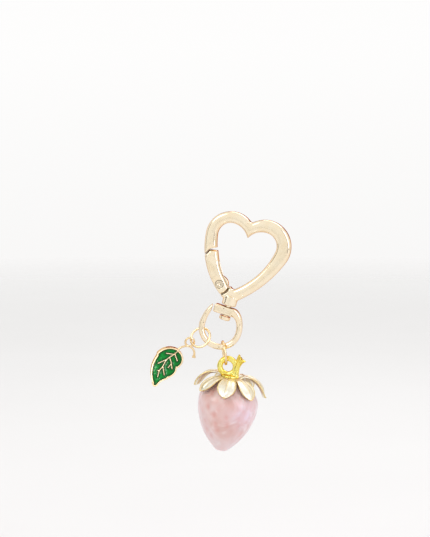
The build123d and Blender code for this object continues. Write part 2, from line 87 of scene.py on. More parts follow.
SEED_TOP, SEED_ROW_STEP, SEED_JITTER = -5.5, 3.1, 0.35
FRUIT_WAIST, FRUIT_R, FRUIT_LENGTH = -11.5, 12.0, 19.8    # the widest height, and the taper below
SKIN_SAMPLES, SKIN_WINDOW = 721, 7
SOCKET_WALL, TIP_BELOW = 2.0, -28.0    # what lies inside this radius is the peg's socket, not skin
STEM_HEIGHTS = (0, 1.6, 4.2, 6.4, 9.5)
STEM_AXIS = (1.2, 1.3, 1.6, 2.35, 4.6)     # how far right the stem's middle is at those heights
FLUTES, FLUTE_DEEP, LUMP_HIGH = 7, 0.09, 0.05
LEAF_YAW, LEAF_PITCH = 18.0, 13.0
LEAF_VOXEL = 0.075
ENAMEL_CLIMB, ENAMEL_CLIMB_WIDE = 0.07, 0.14
ENAMEL_SWELL, ENAMEL_SWELL_WIDE = 0.05, 0.9
CLASP_TILT = 17.0
CLASP_VOXEL, SWIVEL_VOXEL, HANGER_VOXEL = 0.16, 0.13, 0.13
GAP_REACH = 0.9                    # how far across a gap a face looks for its neighbour
GAP_START, GAP_FADE, GAP_GAIN = 0.02, 0.6, 1.35
GAP_SLANTS = ((0, 0), (0.7, 0), (-0.7, 0), (0, 0.7), (0, -0.7))    # rays about a face's normal
CROWN = 0.32                       # how far the heart's faces swell in their middle
CROWN_WIDE = 2.3                   # the swelling is full this far from the walls
CROWN_DEPTHS = (1.3, 2.1)          # it begins and is full this far from the middle plane
CROWN_HEIGHTS = (4.4, 6.5)         # and at these heights over the swivel's bar
PIVOT = (-5.8, 7.9)                # gate pivot, in the clasp's own frame
PIVOT_FLAT = (1.7, 3.6)            # no swelling within the first radius about the pivot
RIVET_HALF = ((0.0, -0.30), (0.30, -0.27), (0.52, -0.19), (0.66, -0.09), (0.76, -0.02),
              (0.88, 0.0), (1.02, -0.03), (1.14, -0.08), (1.26, -0.05), (1.38, -0.01),
              (1.48, -0.02), (1.55, -0.07), (1.59, -0.15), (1.59, -0.44), (0.8, -0.46))
RIVET_GROOVE_SHADE = ((0.8, 0.72, 0.09), (0.7, 1.14, 0.07))       # painted shade in the head's grooves: strength, radius, width
# painted shade round the head's rim, where it sits in the gate
RIVET_RIM_SHADE = (1.50, 1.58)
LINK_STEPS, LINK_SIDES, LINK_GAP = 160, 28, 0.05
LEAF_LINK_SPLIT, BERRY_LINK_SPLIT = 118, 100               # where each link's ends meet, degrees
SPRING_R, SPRING_WIRE, SPRING_TURNS = 0.86, 0.16, 8
SPRING_FOOT, SPRING_HEAD = (-7.45, 0.0, 11.25), (-9.9, 0.0, 15.0)     # in the clasp's own frame
SPRING_STEPS, SPRING_SIDES = 192, 10

# ---- studio, metres ----------------------------------------------------------------------
FLOOR_Z = -0.17
FLOOR_STEPS, FLOOR_RINGS = 96, (0.0, 0.3, 0.7, 1.2, 2.0, 3.0)
STUDIO_CENTRE = (0.0, 0.0, -0.04)
LEAF_CENTRE = (-0.030, 0.0, -0.058)
CAMERA_AIM, CAMERA_REACH = (-0.00723, 0.0, -0.01828), 0.507
CAMERA_AZIMUTH, CAMERA_RISE = 9.0, 4.0
LENS, SENSOR = 85.0, 36.0
WORLD_STRENGTH = 1.02
LAMPS = (    # name, place, size, watts, colour
    ("key", (-0.55, -0.75, 0.65), (0.5, 0.5), 2.4, (1.0, 0.99, 0.97)),
    ("fill", (0.75, -0.6, 0.25), (0.35, 0.7), 2.3, (0.88, 0.80, 1.0)),
    ("rim", (0.25, 0.55, 0.75), (0.8, 0.3), 2.2, (1, 1, 1)),
)
CARDS = (    # name, place, aim, size, colour, glow
    ("warm_card", (0.03, 0.30, 0.10), STUDIO_CENTRE, (0.34, 0.22), (0.42, 0.13, 0.06), 0.0),
    ("dark_strip_right", (0.40, -0.66, -0.02), STUDIO_CENTRE, (0.17, 0.9), (0.04, 0.03, 0.02), 0.0),
    ("dark_strip_left", (-0.75, -0.30, -0.02), STUDIO_CENTRE, (0.20, 0.9), (0.06, 0.04, 0.03), 0.0),
    ("sparkle_card", (0.025, -0.126, -0.151), LEAF_CENTRE, (0.010, 0.006), (1, 1, 1), 10.5),
)

# ---- colours, linear RGB --------------------------------------------------------------------
PALE_GOLD = (0.95, 0.84, 0.64)
PALE_GOLD_DEEP = (0.93, 0.79, 0.56)
# the edge colours tint each metal's reflection, and are painted into its hollow creases as shade
GOLD_EDGE = (0.70, 0.33, 0.13)
WIRE_GOLD, WIRE_DEEP, WIRE_EDGE = (0.93, 0.77, 0.50), (0.86, 0.66, 0.38), (0.62, 0.30, 0.10)
# painted shade laid on faces across a narrow gap from another part
GAP_SHADE = (0.030, 0.018, 0.010)
SPECK_DARK = (0.16, 0.11, 0.07)
YELLOW_GOLD = (0.93, 0.84, 0.25)
YELLOW_DEEP = (0.84, 0.67, 0.13)
# the edge colour tints the yellow gold's reflection, and is painted into its hollow creases as shade
YELLOW_EDGE = (0.75, 0.42, 0.08)
CREAM, CREAM_DEEP = (0.94, 0.92, 0.80), (0.80, 0.76, 0.62)
CREAM_RIM, CREAM_RIM_DEEP = (0.88, 0.74, 0.38), (0.76, 0.56, 0.22)
CREAM_EDGE = (0.78, 0.55, 0.22)
ENAMEL, ENAMEL_DEEP = (0.001, 0.33, 0.045), (0.001, 0.20, 0.022)
# painted shade where the enamel meets the metal's walls
ENAMEL_RIM_SHADE = (0.001, 0.035, 0.006)
RESIN = (0.64, 0.40, 0.36)
RESIN_LIGHT = (0.70, 0.53, 0.51)
RESIN_MILK = (0.78, 0.67, 0.66)
RESIN_SPOT = (0.62, 0.26, 0.21)
# painted shadow: a deeper, warmer pink laid on the fruit under the calyx
RESIN_CALYX_SHADOW = (0.56, 0.31, 0.24)
# painted sheen: a pale lavender toward grazing edges for the resin's pearliness, and a lavender
# highlight on the fruit's right
PEARL_EDGE_SHEEN, RIGHT_SHEEN = (0.72, 0.56, 0.66), (0.80, 0.68, 0.84)
STEEL, STEEL_LIGHT = (0.42, 0.42, 0.43), (0.62, 0.61, 0.60)
GLUE, GLUE_LIGHT = (0.72, 0.66, 0.50), (0.85, 0.82, 0.72)
STUDIO, STUDIO_LOW = (0.97, 0.965, 0.96), (0.80, 0.79, 0.78)
FLOOR, FLOOR_LIGHT = (0.74, 0.735, 0.73), (0.77, 0.765, 0.76)


# ---- shader building ------------------------------------------------------------------------
def new_material(name):
    material = bpy.data.materials.new(name)
    material.use_nodes = True
    tree = material.node_tree
    shader = tree.nodes["Principled BSDF"]
    return material, tree, shader


def add(tree, kind, inputs=None, **settings):
    """A node with its settings and sockets; a socket given as another socket is linked."""
    node = tree.nodes.new("ShaderNode" + kind)
    for key, value in settings.items():
        setattr(node, key, value)
    for key, value in (inputs or {}).items():
        if isinstance(value, bpy.types.NodeSocket):
            tree.links.new(value, node.inputs[key])
        else:
            node.inputs[key].default_value = value
    return node


def rgb(colour):
    return (*colour, 1.0)


def noise(tree, coords, scale, detail=3.0, roughness=0.5, distortion=0.0):
    return add(tree, "TexNoise", {"Vector": coords, "Scale": scale, "Detail": detail,
                                  "Roughness": roughness, "Distortion": distortion}).outputs["Fac"]


def remap(tree, value, low, high, to_low=0.0, to_high=1.0):
    return add(tree, "MapRange", {"Value": value, "From Min": low, "From Max": high,
                                  "To Min": to_low, "To Max": to_high}).outputs["Result"]


def mix(tree, factor, a, b):
    node = add(tree, "Mix", data_type="RGBA")
    for index, value in ((0, factor), (6, a), (7, b)):
        if isinstance(value, bpy.types.NodeSocket):
            tree.links.new(value, node.inputs[index])
        else:
            node.inputs[index].default_value = value if index == 0 else rgb(value)
    return node.outputs[2]


def times(tree, a, b):
    return add(tree, "Math", {0: a, 1: b}, operation="MULTIPLY").outputs["Value"]


def object_coords(tree):
    return add(tree, "TexCoord").outputs["Object"]


def attribute(tree, name):
    return add(tree, "Attribute", attribute_name=name).outputs["Fac"]


def gold(name, light, deep, edge, roughness, peel=0.000010, pits=False):
    """Plated, polished metal: cloudy tone, fine scuffs, orange peel and, if asked for, pits, with
    painted shade in hollow creases and in narrow gaps between parts.
    """
    material, tree, shader = new_material(name)
    coords = object_coords(tree)
    cloud = remap(tree, noise(tree, coords, 260.0, 4.0), 0.35, 0.65)
    # painted shade: hollow creases take the darker edge colour
    crease_shade = remap(tree, add(tree, "NewGeometry").outputs["Pointiness"], 0.40, 0.48)
    tone = mix(tree, crease_shade, edge, mix(tree, cloud, deep, light))
    if pits:
        speck = add(tree, "TexVoronoi", {"Vector": coords, "Scale": 520.0}).outputs["Distance"]
        tone = mix(tree, remap(tree, speck, 0.07, 0.12), SPECK_DARK, tone)
    # painted shade: faces that look across a narrow gap at another part turn dark
    tree.links.new(mix(tree, attribute(tree, "gap"), tone, GAP_SHADE), shader.inputs["Base Color"])
    scuff = noise(tree, coords, 2600.0, 6.0, 0.7)
    tree.links.new(remap(tree, scuff, 0.3, 0.75, roughness * 0.7, roughness * 1.5),
                   shader.inputs["Roughness"])
    shader.inputs["Metallic"].default_value = 1.0
    shader.inputs["Specular Tint"].default_value = rgb(edge)
    soft = add(tree, "Bump", {"Height": noise(tree, coords, 420.0, 2.0), "Distance": peel,
                              "Strength": 1.0})
    tree.links.new(soft.outputs["Normal"], shader.inputs["Normal"])
    return material


def steel():
    """Drawn spring wire with faint streaks."""
    material, tree, shader = new_material("spring_wire")
    coords = object_coords(tree)
    cloud = remap(tree, noise(tree, coords, 1500.0), 0.3, 0.7)
    tree.links.new(mix(tree, cloud, STEEL, STEEL_LIGHT), shader.inputs["Base Color"])
    scuff = remap(tree, noise(tree, coords, 4000.0), 0.3, 0.7, 0.22, 0.4)
    tree.links.new(scuff, shader.inputs["Roughness"])
    shader.inputs["Metallic"].default_value = 1.0
    return material


def glue():
    """Cured, slightly cloudy adhesive."""
    material, tree, shader = new_material("cured_adhesive")
    coords = object_coords(tree)
    cloud = remap(tree, noise(tree, coords, 900.0), 0.3, 0.7)
    tree.links.new(mix(tree, cloud, GLUE, GLUE_LIGHT), shader.inputs["Base Color"])
    shader.inputs["Roughness"].default_value = 0.25
    return material


def calyx_metal():
    """Cream plating that wears to yellow gold on the raised rims and folds."""
    material, tree, shader = new_material("calyx_plating")
    coords = object_coords(tree)
    raised = remap(tree, attribute(tree, "raised"), 0.22, 0.70)
    mottle = remap(tree, noise(tree, coords, 700.0, 4.0, 0.6), 0.3, 0.7)
    panel = mix(tree, mottle, CREAM_DEEP, CREAM)
    rim = mix(tree, mottle, CREAM_RIM_DEEP, CREAM_RIM)
    tree.links.new(mix(tree, raised, panel, rim), shader.inputs["Base Color"])
    tree.links.new(remap(tree, mottle, 0.0, 1.0, 0.34, 0.46), shader.inputs["Roughness"])
    shader.inputs["Metallic"].default_value = 1.0
    shader.inputs["Specular Tint"].default_value = rgb(CREAM_EDGE)
    bump = add(tree, "Bump", {"Height": noise(tree, coords, 900.0, 4.0), "Distance": 0.00016,
                              "Strength": 0.8})
    tree.links.new(bump.outputs["Normal"], shader.inputs["Normal"])
    return material


def enamel():
    """Glossy soft enamel, with painted shade that darkens it near the metal's walls."""
    material, tree, shader = new_material("leaf_enamel_green")
    coords = object_coords(tree)
    # painted shade: the enamel darkens within about a millimetre of the metal's walls
    inner = remap(tree, attribute(tree, "inner"), 0.05, 1.1)
    flow = remap(tree, noise(tree, coords, 230.0, 3.0, 0.55, 0.8), 0.38, 0.62)
    tone = mix(tree, flow, ENAMEL_DEEP, ENAMEL)
    tree.links.new(mix(tree, inner, ENAMEL_RIM_SHADE, tone), shader.inputs["Base Color"])
    shader.inputs["Roughness"].default_value = 0.28
    shader.inputs["Specular IOR Level"].default_value = 0.0
    shader.inputs["Coat Weight"].default_value = 0.5
    shader.inputs["Coat IOR"].default_value = 1.42
    shader.inputs["Coat Roughness"].default_value = 0.03
    bump = add(tree, "Bump", {"Height": noise(tree, coords, 300.0, 2.0), "Distance": 0.00012,
                              "Strength": 0.6})
    tree.links.new(bump.outputs["Normal"], shader.inputs["Coat Normal"])
    tree.links.new(bump.outputs["Normal"], shader.inputs["Normal"])
    return material


def resin():
    """Milky pink resin with drifting marble and darker seed pits, and painted light: a shadow under
    the calyx, a lavender sheen on the fruit's right and a pale sheen toward grazing edges.
    """
    material, tree, shader = new_material("strawberry_resin")
    coords = object_coords(tree)
    marble = remap(tree, noise(tree, coords, 95.0, 3.0, 0.5, 0.8), 0.36, 0.64)
    body = mix(tree, marble, RESIN, RESIN_LIGHT)
    vein = remap(tree, noise(tree, coords, 130.0, 3.0, 0.5, 1.2), 0.50, 0.74)
    body = mix(tree, vein, body, RESIN_MILK)
    strength = remap(tree, noise(tree, coords, 110.0, 2.0, 0.5), 0.40, 0.60, 0.05, 0.60)
    body = mix(tree, times(tree, attribute(tree, "pit"), strength), body, RESIN_SPOT)
    # painted shadow: the fruit darkens towards the calyx
    body = mix(tree, attribute(tree, "shade"), body, RESIN_CALYX_SHADOW)
    cloudy = remap(tree, marble, 0.0, 1.0, 0.35, 0.95)
    # painted highlight: a lavender sheen laid on the fruit's right, thinned by the marble
    body = mix(tree, times(tree, attribute(tree, "painted_sheen"), cloudy), body, RIGHT_SHEEN)
    # painted sheen: the base turns pale lavender towards grazing edges, for the resin's pearly look
    graze = add(tree, "LayerWeight", {"Blend": 0.35}).outputs["Facing"]
    tree.links.new(mix(tree, remap(tree, graze, 0.2, 0.9, 0.0, 0.55), body, PEARL_EDGE_SHEEN),
                   shader.inputs["Base Color"])
    tree.links.new(remap(tree, marble, 0.0, 1.0, 0.3, 0.42), shader.inputs["Roughness"])
    shader.inputs["Subsurface Weight"].default_value = 0.45
    shader.inputs["Subsurface Radius"].default_value = (1.0, 0.45, 0.40)
    shader.inputs["Subsurface Scale"].default_value = 0.004
    shader.inputs["Coat Weight"].default_value = 0.9
    shader.inputs["Coat Roughness"].default_value = 0.30
    bump = add(tree, "Bump", {"Height": noise(tree, coords, 220.0, 3.0), "Distance": 0.0002,
                              "Strength": 0.5})
    tree.links.new(bump.outputs["Normal"], shader.inputs["Normal"])
    return material


# ---- mesh helpers ----------------------------------------------------------------------------
def cad_points(node):
    """A CAD node's vertices, in millimetres in the assembly's frame."""
    return np.array([v.co for v in frame["nodes"][node].data.vertices], float) / MM


def to_world(points, matrix):
    m = np.array(matrix)
    return points @ m[:3, :3].T + m[:3, 3]


def add_piece(name, points, faces, material, body, slot, *nodes):
    """A smooth mesh in the assembly's frame that rides on a body and stands for CAD nodes."""
    mesh = bpy.data.meshes.new(name)
    mesh.from_pydata((points * MM).tolist(), [], [list(f) for f in faces])
    mesh.update()
    mesh.shade_smooth()
    return place(name, mesh, material, body, slot, *nodes)


def place(name, mesh, material, body, slot, *nodes):
    piece = bpy.data.objects.new(name, mesh)
    bpy.context.scene.collection.objects.link(piece)
    mesh.materials.clear()
    mesh.materials.append(material)
    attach(piece, body)
    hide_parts(*nodes)
    return piece


def set_attribute(mesh, name, values):
    layer = mesh.attributes.new(name, "FLOAT", "POINT")
    layer.data.foreach_set("value", np.asarray(values, np.float32))


def cast_copy(node, voxel, smoothing):
    """A CAD node's shape with the soft edges of a plated casting, in millimetres."""
    work = frame["nodes"][node].data.copy()
    work.transform(Matrix.Scale(1 / MM, 4))
    holder = bpy.data.objects.new(node + "_work", work)
    bpy.context.scene.collection.objects.link(holder)
    remesh = holder.modifiers.new("remesh", "REMESH")
    remesh.mode = "VOXEL"
    remesh.voxel_size = voxel
    remesh.use_smooth_shade = True
    smooth = holder.modifiers.new("smooth", "SMOOTH")
    smooth.iterations = smoothing
    smooth.factor = 0.5
    ready = holder.evaluated_get(bpy.context.evaluated_depsgraph_get())
    result = bpy.data.meshes.new_from_object(ready)
    bpy.data.objects.remove(holder)
    bpy.data.meshes.remove(work)
    return result


def clasp_matrix():
    """The clasp's own upright frame, from the swivel's joint."""
    joint = next(j for j in frame["joints"] if j["name"] == "swivel_turn")
    return (Matrix.Translation(Vector(joint["pos_m"]) / MM)
            @ Matrix.Rotation(math.radians(CLASP_TILT), 4, "Y"))


def shade_gaps(mesh, points, normals, *others):
    """Mark the faces that look at another part across a narrow gap, for painted shade that darkens
    them.
    """
    gap = np.zeros(len(points))
    for other in others:
        source = frame["nodes"][other].data
        corners = cad_points(other)
        tree = BVHTree.FromPolygons(corners.tolist(), [list(p.vertices) for p in source.polygons])
        above = points > corners.min(0) - GAP_REACH
        below = points < corners.max(0) + GAP_REACH
        near = np.all(above & below, axis=1)
        for i in np.nonzero(near)[0]:
            normal = Vector(normals[i])
            side = normal.orthogonal()
            across = normal.cross(side)
            start = Vector(points[i]) + normal * GAP_START
            seen = 0.0
            for u, v in GAP_SLANTS:
                ray = (normal + side * u + across * v).normalized()
                hit = tree.ray_cast(start, ray, GAP_REACH)
                if hit[0] is not None:
                    seen += 1 - GAP_FADE * hit[3] / GAP_REACH
            gap[i] = max(gap[i], seen / len(GAP_SLANTS))
    set_attribute(mesh, "gap", np.clip(gap * GAP_GAIN, 0, 1))


def crowned_copy(name, node, material, body, *others):
    """The clasp's arms with faces that swell a little between their rounded edges."""
    mesh = cast_copy(node, CLASP_VOXEL, 10)
    points = mesh_points(mesh)
    normals = mesh_normals(mesh)
    walls = points[np.abs(normals[:, 1]) < 0.25]
    tree = kdtree.KDTree(len(walls))
    for i, p in enumerate(walls):
        tree.insert((p[0], 0.0, p[2]), i)
    tree.balance()
    local = to_world(points, clasp_matrix().inverted())
    outer = smooth_step(np.abs(points[:, 1]), *CROWN_DEPTHS) * smooth_step(local[:, 2], *CROWN_HEIGHTS)
    outer *= smooth_step(np.hypot(local[:, 0] - PIVOT[0], local[:, 2] - PIVOT[1]), *PIVOT_FLAT)
    for i in np.nonzero(outer > 0.001)[0]:
        inside = min(1.0, tree.find((points[i, 0], 0.0, points[i, 2]))[2] / CROWN_WIDE)
        points[i, 1] += math.copysign(CROWN * outer[i] * (1 - (1 - inside) ** 2), points[i, 1])
    shade_gaps(mesh, points, normals, *others)
    set_points(mesh, points * MM)
    return place(name, mesh, material, body, "pale_gold", node)


def swivel_casting(material):
    """The swivel's bar and ring, with softened edges."""
    mesh = cast_copy("swivel_ring", SWIVEL_VOXEL, 3)
    shade_gaps(mesh, mesh_points(mesh), mesh_normals(mesh), "heart_frame", "swivel_rivet")
    set_points(mesh, mesh_points(mesh) * MM)
    return place("swivel_casting", mesh, material, "swivel", "pale_gold", "swivel_ring")


def pivot_rivet(material):
    """A rivet with a ring-rolled, dimpled head at each end, and painted shade in its grooves and round
    its rim.
    """
    corners = cad_points("gate_pivot_rivet")
    centre = (corners.max(0) + corners.min(0)) / 2
    reach = (corners.max(0) - corners.min(0)) / 2
    profile = [(r, reach[1] + z) for r, z in RIVET_HALF]
    profile += [(r, -z) for r, z in reversed(profile)]
    points, faces = lathe(profile, 72, 0)
    radius = np.hypot(points[:, 0], points[:, 1])
    # painted shade: dark rings in the head's grooves and round its rim, read by the gold's gap colour
    gap = sum(deep * np.exp(-((radius - at) / wide) ** 2) for deep, at, wide in RIVET_GROOVE_SHADE)
    gap = np.maximum(gap, smooth_step(radius, *RIVET_RIM_SHADE))
    upright = points[:, [0, 2, 1]] * (1, -1, 1) + centre
    piece = add_piece("pivot_rivet", upright, faces, material,
                      "carabiner", "pale_gold", "gate_pivot_rivet")
    set_attribute(piece.data, "gap", gap)
    return piece


def mesh_points(mesh):
    flat = np.empty(len(mesh.vertices) * 3, np.float32)
    mesh.vertices.foreach_get("co", flat)
    return flat.reshape(-1, 3).astype(float)


def mesh_normals(mesh):
    flat = np.empty(len(mesh.vertices) * 3, np.float32)
    mesh.vertex_normals.foreach_get("vector", flat)
    return flat.reshape(-1, 3).astype(float)


def set_points(mesh, points):
    mesh.vertices.foreach_set("co", np.asarray(points, np.float32).ravel())
    mesh.update()


# ---- frames of the parts ----------------------------------------------------------------------
def berry_matrix():
    """The strawberry's own frame: Z up its axis, origin at the calyx's top centre."""
    turn = Matrix.Rotation(math.radians(BERRY_LEAN), 4, "Y")
    local = to_world(cad_points("berry"), turn.inverted())
    centre = (local.max(0) + local.min(0)) / 2
    top = local[:, 2].max() + BERRY_TOP
    return turn @ Matrix.Translation((centre[0], centre[1], top))


# ---- strawberry ---------------------------------------------------------------------------------
def seed_directions():
    """Rows of seed pits, staggered, as (height, angle) on the fruit."""
    seeds = []
    for row in range(SEED_ROWS):
        height = SEED_TOP - row * SEED_ROW_STEP
        radius = 11.8
        if height < FRUIT_WAIST:
            taper = 1 - ((height - FRUIT_WAIST) / FRUIT_LENGTH) ** 2
            radius = FRUIT_R * math.sqrt(max(0.02, taper))
        count = max(3, round(2 * math.pi * radius / SEED_STEP / 1.15))
        for k in range(count):
            jitter = SEED_JITTER * math.sin(12.9898 * (k + 1) + 78.233 * row)
            angle = 2 * math.pi * (k + 0.5 * (row % 2) + 0.25 * jitter) / count
            seeds.append((height + 0.8 * jitter, angle))
    return seeds


def fruit_skin(matrix):
    """Distance of the fruit's skin from its centre, against the angle down from the axis."""
    local = to_world(cad_points("berry"), matrix.inverted())
    r = np.hypot(local[:, 0], local[:, 1])
    keep = (r > SOCKET_WALL) | (local[:, 2] < TIP_BELOW)
    r, z = r[keep], local[keep, 2] - FRUIT_CENTRE
    angle = np.arctan2(r, z)
    order = np.argsort(angle)
    angle, reach = angle[order], np.hypot(r, z)[order]
    grid = np.linspace(0, math.pi, SKIN_SAMPLES)
    values = np.interp(grid, angle, reach)
    kernel = np.hanning(2 * SKIN_WINDOW + 1)
    start, end = values[SKIN_WINDOW:0:-1], values[-2:-SKIN_WINDOW - 2:-1]
    padded = np.concatenate([start, values, end])
    smooth = np.convolve(padded, kernel / kernel.sum(), "valid")
    return grid, smooth


def cube_sphere(cells):
    """Directions and quads of a cube's six faces blown up to a sphere, welded at the edges."""
    t = np.tan(np.linspace(-math.pi / 4, math.pi / 4, cells + 1))
    points, index, faces = [], {}, []
    for axis in range(3):
        for sign in (-1, 1):
            ids = np.empty((cells + 1, cells + 1), int)
            for i in range(cells + 1):
                for j in range(cells + 1):
                    p = [0.0, 0.0, 0.0]
                    p[axis], p[(axis + 1) % 3], p[(axis + 2) % 3] = sign, t[i], t[j]
                    key = tuple(round(c, 6) for c in p)
                    if key not in index:
                        index[key] = len(points)
                        points.append(p)
                    ids[i, j] = index[key]
            for i in range(cells):
                for j in range(cells):
                    quad = (ids[i, j], ids[i + 1, j], ids[i + 1, j + 1], ids[i, j + 1])
                    faces.append(quad if sign > 0 else quad[::-1])
    points = np.array(points)
    return points / np.linalg.norm(points, axis=1)[:, None], faces


def berry(material):
    matrix = berry_matrix()
    directions, faces = cube_sphere(FRUIT_CELLS)
    down = np.arccos(np.clip(directions[:, 2], -1, 1))
    grid, reach = fruit_skin(matrix)
    distance = np.interp(down, grid, reach)
    points = directions * distance[:, None]
    points[:, 2] += FRUIT_CENTRE
    around = np.arctan2(points[:, 1], points[:, 0])
    radius = np.hypot(points[:, 0], points[:, 1])
    pit = np.zeros(len(points))
    for height, angle in seed_directions():
        turn = (around - angle + math.pi) % (2 * math.pi) - math.pi
        span = np.hypot(turn * radius / 0.85, (points[:, 2] - height) / 1.15)
        pit = np.maximum(pit, np.exp(-(span / (SEED_R * 0.62)) ** 2))
    wobble = (0.10 * np.sin(3 * around + 0.9) * np.sin(0.25 * points[:, 2])
              + 0.06 * np.sin(5 * around - 1.1 + 0.35 * points[:, 2]))
    fade = np.clip(radius / 4, 0, 1)
    inward = pit * SEED_DEPTH - wobble * fade
    points -= directions * inward[:, None]
    piece = add_piece("strawberry_fruit", to_world(points, matrix), faces, material,
                      "strawberry", "pink_resin", "berry")
    set_attribute(piece.data, "pit", pit)
    # painted shadow, strongest just under the calyx
    set_attribute(piece.data, "shade", 0.55 * smooth_step(points[:, 2], -12.0, -5.0))
    # painted highlight: a lavender sheen centred on the fruit's right
    side = (around - math.radians(SHEEN_ANGLE)) * radius
    right_sheen_mask = np.exp(-(side / SHEEN_WIDTH) ** 2 - ((points[:, 2] - SHEEN_HEIGHT) / SHEEN_WIDTH) ** 2)
    set_attribute(piece.data, "painted_sheen", right_sheen_mask)
    return piece


def smooth_step(x, low, high):
    t = np.clip((x - low) / (high - low), 0, 1)
    return t * t * (3 - 2 * t)


def petal_relief(number, s, t, across):
    """A sepal's height over the dome at shares s along and t across, its rims and its tip's rim."""
    edge = np.abs(t) + 0 * s
    rim = smooth_step(edge, *RIM_BAND) * smooth_step(s, 0.22, 0.4)
    tip_rim = smooth_step(s + 0 * t, 0.955, 0.985)
    rim = np.maximum(rim, tip_rim)
    fold = np.exp(-((t + 0 * s) / FOLD_WIDTH) ** 2)
    fold = fold * smooth_step(s, 0.1, 0.3) * (1 - smooth_step(s, 0.78, 0.93))
    side = np.exp(-((np.abs(t) - SIDE_FOLD_AT - 0.1 * s) / SIDE_FOLD_WIDTH) ** 2)
    side = side * smooth_step(s, 0.25, 0.45) * (1 - smooth_step(s, 0.6, 0.85))
    swell = PANEL_SWELL * (1 - edge ** 2) * smooth_step(s, 0.15, 0.6)
    height = (RIM_HIGH * rim + FOLD_HIGH * fold + SIDE_FOLD_HIGH * side
              - PANEL_SUNK * (1 - rim) * smooth_step(s, 0.25, 0.5) * (1 - fold)
              + swell - PETAL_ARCH * across ** 2 * smooth_step(s, 0.0, 0.5))
    ripple = PETAL_RIPPLE * np.sin(7.0 * s + 1.7 * number) * np.sin(2.3 * t + number)
    height = height + ripple * smooth_step(s, 0.2, 0.6)
    height = height + TIP_FLIP * smooth_step(s, 0.75, 1.0) ** 2
    height = height - PETAL_DROOP[number] * smooth_step(s, 0.4, 1.0)
    return height, np.maximum(rim, 0.55 * fold), edge, tip_rim


def petal_grid(number, rows=64, columns=40):
    """One sepal along +X: its top and bottom points, and how raised each point of the top is."""
    s = np.linspace(0, 1, rows + 1)[:, None]
    t = np.linspace(-1, 1, columns + 1)[None, :]
    arc_end = math.asin((PETAL_REACH[number] - DOME_FLAT) / DOME_R) * DOME_R + PETAL_EXTRA[number]
    length = DOME_FLAT - PETAL_START + arc_end
    along = PETAL_START + s * length + 0 * t
    across = np.interp(s, PETAL_ALONG, PETAL_HALF) * (np.sign(t) * np.abs(t) ** EDGE_CROWDING)
    angle = np.clip((along - DOME_FLAT) / DOME_R, 0, None)
    x = np.minimum(along, DOME_FLAT) + DOME_R * np.sin(angle)
    z = -CAP_TOP - DOME_R + DOME_R * np.cos(angle)
    nx, nz = np.sin(angle), np.cos(angle)
    height, raised, edge, tip_rim = petal_relief(number, s, t, across)
    low = height - PETAL_THICK * (0.75 + 0.25 * (1 - edge ** 4)) * (1 - 0.35 * tip_rim)
    top = np.stack([x + nx * height, across, z + nz * height], -1)
    bottom = np.stack([x + nx * low, across * 0.97, z + nz * low], -1)
    turn = math.radians(-PETAL_BEND[number])
    pivot = np.array([PETAL_HINGE, 0.0, -CAP_TOP])
    rotate = np.array([[math.cos(turn), 0, math.sin(turn)], [0, 1, 0],
                       [-math.sin(turn), 0, math.cos(turn)]])
    lift = smooth_step(along, 3.0, 5.0)[..., None]
    for surface in (top, bottom):
        bent = (surface - pivot) @ rotate.T + pivot + np.array([0, 0, PETAL_LIFT[number]])
        surface[:] = surface * (1 - lift) + bent * lift
    return top, bottom, raised + 0 * t


def shell_mesh(top, bottom, offset):
    """Vertices and quads of a closed shell between two grids with the same outline."""
    rows, columns = top.shape[0], top.shape[1]
    ids = np.arange(rows * columns).reshape(rows, columns) + offset
    low = ids + rows * columns
    faces = []
    for i in range(rows - 1):
        for j in range(columns - 1):
            faces.append((ids[i, j], ids[i + 1, j], ids[i + 1, j + 1], ids[i, j + 1]))
            faces.append((low[i, j + 1], low[i + 1, j + 1], low[i + 1, j], low[i, j]))
    border = [(0, j) for j in range(columns)]
    border += [(i, columns - 1) for i in range(1, rows)]
    border += [(rows - 1, j) for j in range(columns - 2, -1, -1)]
    border += [(i, 0) for i in range(rows - 2, 0, -1)]
    for a, b in zip(border, border[1:] + border[:1]):
        faces.append((ids[a], ids[b], low[b], low[a]))
    return np.concatenate([top.reshape(-1, 3), bottom.reshape(-1, 3)]), faces


def lathe(profile, steps, offset):
    """A closed body of revolution about Z from a profile that starts and ends on the axis."""
    angles = np.linspace(0, 2 * math.pi, steps, endpoint=False)
    inner = profile[1:-1]
    points = [(0.0, 0.0, profile[0][1])]
    for r, z in inner:
        points += [(r * math.cos(a), r * math.sin(a), z) for a in angles]
    points.append((0.0, 0.0, profile[-1][1]))
    faces = []
    for j in range(steps):
        k = (j + 1) % steps
        faces.append((offset, offset + 1 + j, offset + 1 + k))
        for i in range(len(inner) - 1):
            a, b = offset + 1 + i * steps, offset + 1 + (i + 1) * steps
            faces.append((a + j, b + j, b + k, a + k))
        last = offset + 1 + (len(inner) - 1) * steps
        faces.append((last + j, offset + len(points) - 1, last + k))
    return np.array(points), faces


def calyx(material):
    """Seven sepals and the cap they grow from."""
    matrix = berry_matrix()
    points, faces, raised = [], [], []
    count = 0
    for number in range(PETALS):
        top, bottom, high = petal_grid(number)
        shell, quads = shell_mesh(top, bottom, count)
        turn = math.radians(PETAL_ANGLE + number * 360 / PETALS)
        spin = np.array([[math.cos(turn), -math.sin(turn), 0],
                         [math.sin(turn), math.cos(turn), 0], [0, 0, 1]])
        points.append(shell @ spin.T)
        faces += quads
        raised += [high.ravel(), high.ravel() * 0.3]
        count += len(shell)
    cap, quads = lathe(CAP_PROFILE, 64, count)
    points.append(cap)
    faces += quads
    raised.append(np.full(len(cap), 0.4))
    piece = add_piece("strawberry_calyx", to_world(np.concatenate(points), matrix), faces, material,
                      "strawberry", "cream_gold", "calyx")
    set_attribute(piece.data, "raised", np.concatenate(raised))
    return piece


